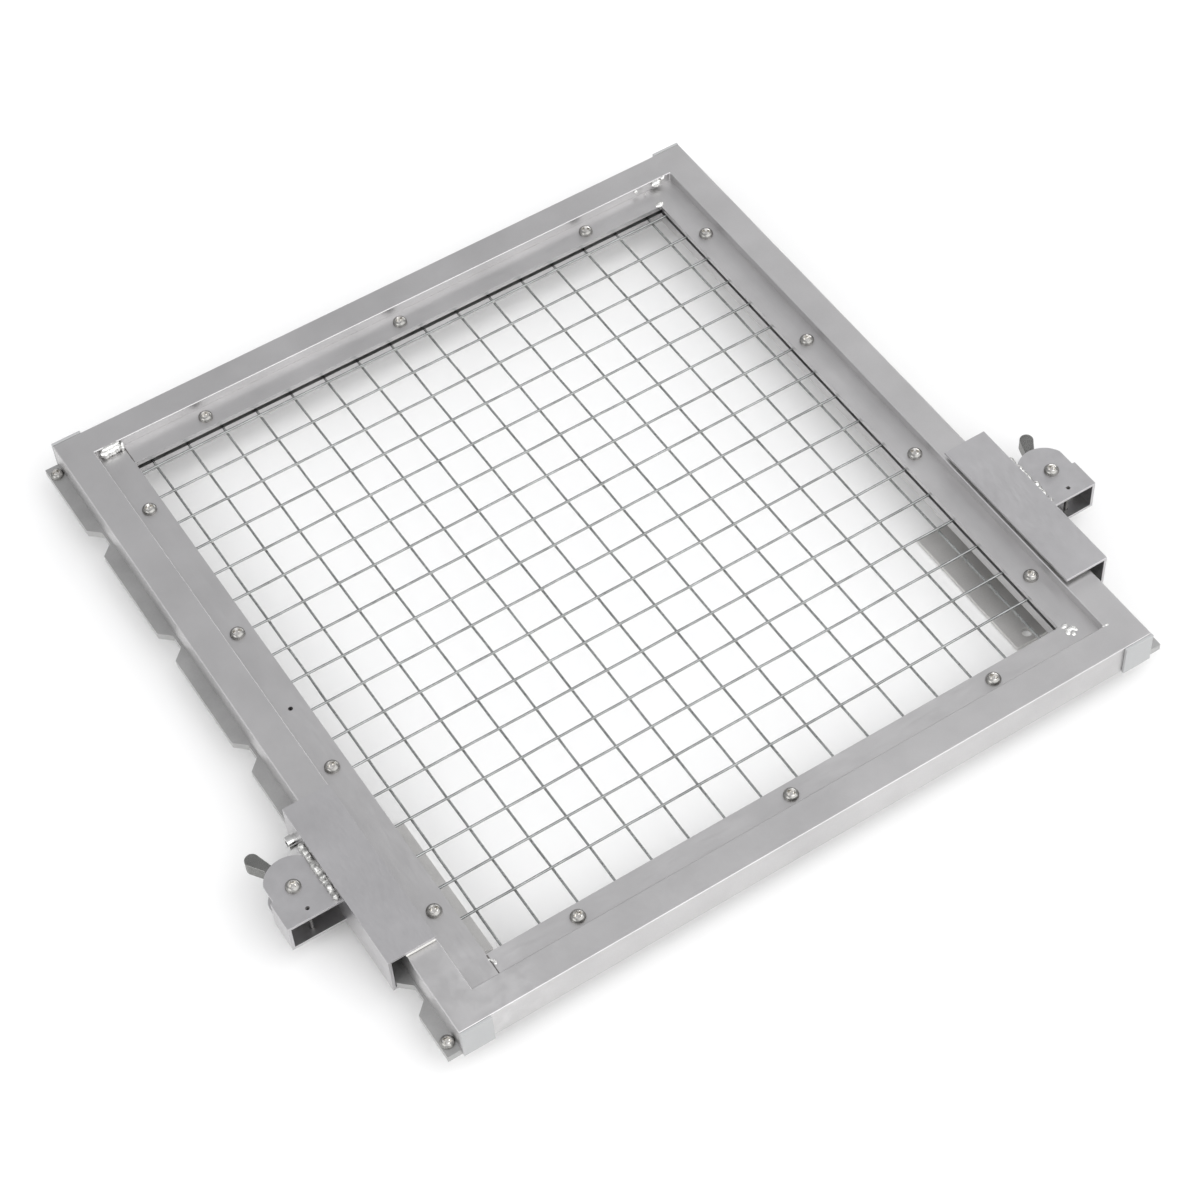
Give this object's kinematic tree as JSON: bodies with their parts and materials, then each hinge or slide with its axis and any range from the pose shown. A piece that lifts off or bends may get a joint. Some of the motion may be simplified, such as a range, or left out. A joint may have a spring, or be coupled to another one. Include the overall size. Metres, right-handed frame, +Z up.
{
  "type": "hitch cargo carrier mesh platform",
  "caption": "Square cargo platform: tube frame, clamped wire mesh deck, and notched side racks with sliding latch carriages whose sprung levers lock them in place.",
  "frame": {"origin": "centre of the frame in plan, on the plane that the undersides of the feet stand on", "axes": "+X across the frame to its right side, +Y from the front rail to the back rail, +Z up"},
  "size_m": [0.5678, 0.51, 0.0461],
  "materials": {
    "rail_aluminium": "satin mill finish",
    "cap_plastic": "light grey moulded plugs",
    "flange_aluminium": "satin mill finish",
    "retainer_aluminium": "satin mill finish",
    "mesh_steel": "welded wire, zinc plated",
    "stainless": "plain stainless fasteners",
    "rack_aluminium": "sawn and milled edges",
    "carriage_sheet": "folded sheet, satin",
    "nylon": "white nylon glide strip",
    "foot_steel": "bent plate, satin",
    "housing_sheet": "folded sheet, welded on",
    "lever_steel": "cut plate, smooth edges",
    "spring_steel": "wound spring wire"
  },
  "bodies": {
    "frame": {"side_rail_left": "rail_aluminium", "side_rail_right": "rail_aluminium", "front_rail": "rail_aluminium", "back_rail": "rail_aluminium", "end_cap_front_left": "cap_plastic", "end_cap_front_right": "cap_plastic", "end_cap_back_left": "cap_plastic", "end_cap_back_right": "cap_plastic", "flange_left": "flange_aluminium", "flange_right": "flange_aluminium", "flange_front": "flange_aluminium", "flange_back": "flange_aluminium", "retainer_left": "retainer_aluminium", "retainer_right": "retainer_aluminium", "retainer_front": "retainer_aluminium", "retainer_back": "retainer_aluminium", "mesh_long_wires": "mesh_steel", "mesh_cross_wires": "mesh_steel", "deck_screws": "stainless", "notched_rack_left": "rack_aluminium", "notched_rack_right": "rack_aluminium", "rack_stop_screws": "stainless"},
    "carriage_left": {"carriage_left": "carriage_sheet", "glide_pad_left": "nylon", "foot_left": "foot_steel", "latch_housing_left": "housing_sheet", "lever_spring_left": "spring_steel", "spring_pin_left": "stainless", "pivot_screw_left": "stainless", "pivot_nut_left": "stainless", "stop_bolt_left": "stainless", "stop_nut_left": "stainless"},
    "carriage_right": {"carriage_right": "carriage_sheet", "glide_pad_right": "nylon", "foot_right": "foot_steel", "latch_housing_right": "housing_sheet", "lever_spring_right": "spring_steel", "spring_pin_right": "stainless", "pivot_screw_right": "stainless", "pivot_nut_right": "stainless", "stop_bolt_right": "stainless", "stop_nut_right": "stainless"},
    "lever_left": {"latch_lever_left": "lever_steel"},
    "lever_right": {"latch_lever_right": "lever_steel"}
  },
  "joints": [
    {"name": "carriage_left_slide", "type": "slide", "parent": "frame", "child": "carriage_left", "axis": [0, 1, 0], "range_m": [-0.0975, 0.2925]},
    {"name": "carriage_right_slide", "type": "slide", "parent": "frame", "child": "carriage_right", "axis": [0, 1, 0], "range_m": [-0.0975, 0.2925]},
    {"name": "lever_left_hinge", "type": "hinge", "parent": "carriage_left", "child": "lever_left", "pos_m": [-0.2678, -0.12, 0.0243], "axis": [0, 0, 1], "range_deg": [-25.4, 0], "stiffness_Nm_per_rad": 0.05, "springref_deg": -40.11},
    {"name": "lever_right_hinge", "type": "hinge", "parent": "carriage_right", "child": "lever_right", "pos_m": [0.2678, -0.12, 0.0243], "axis": [0, 0, 1], "range_deg": [0, 25.4], "stiffness_Nm_per_rad": 0.05, "springref_deg": 40.11}
  ]
}
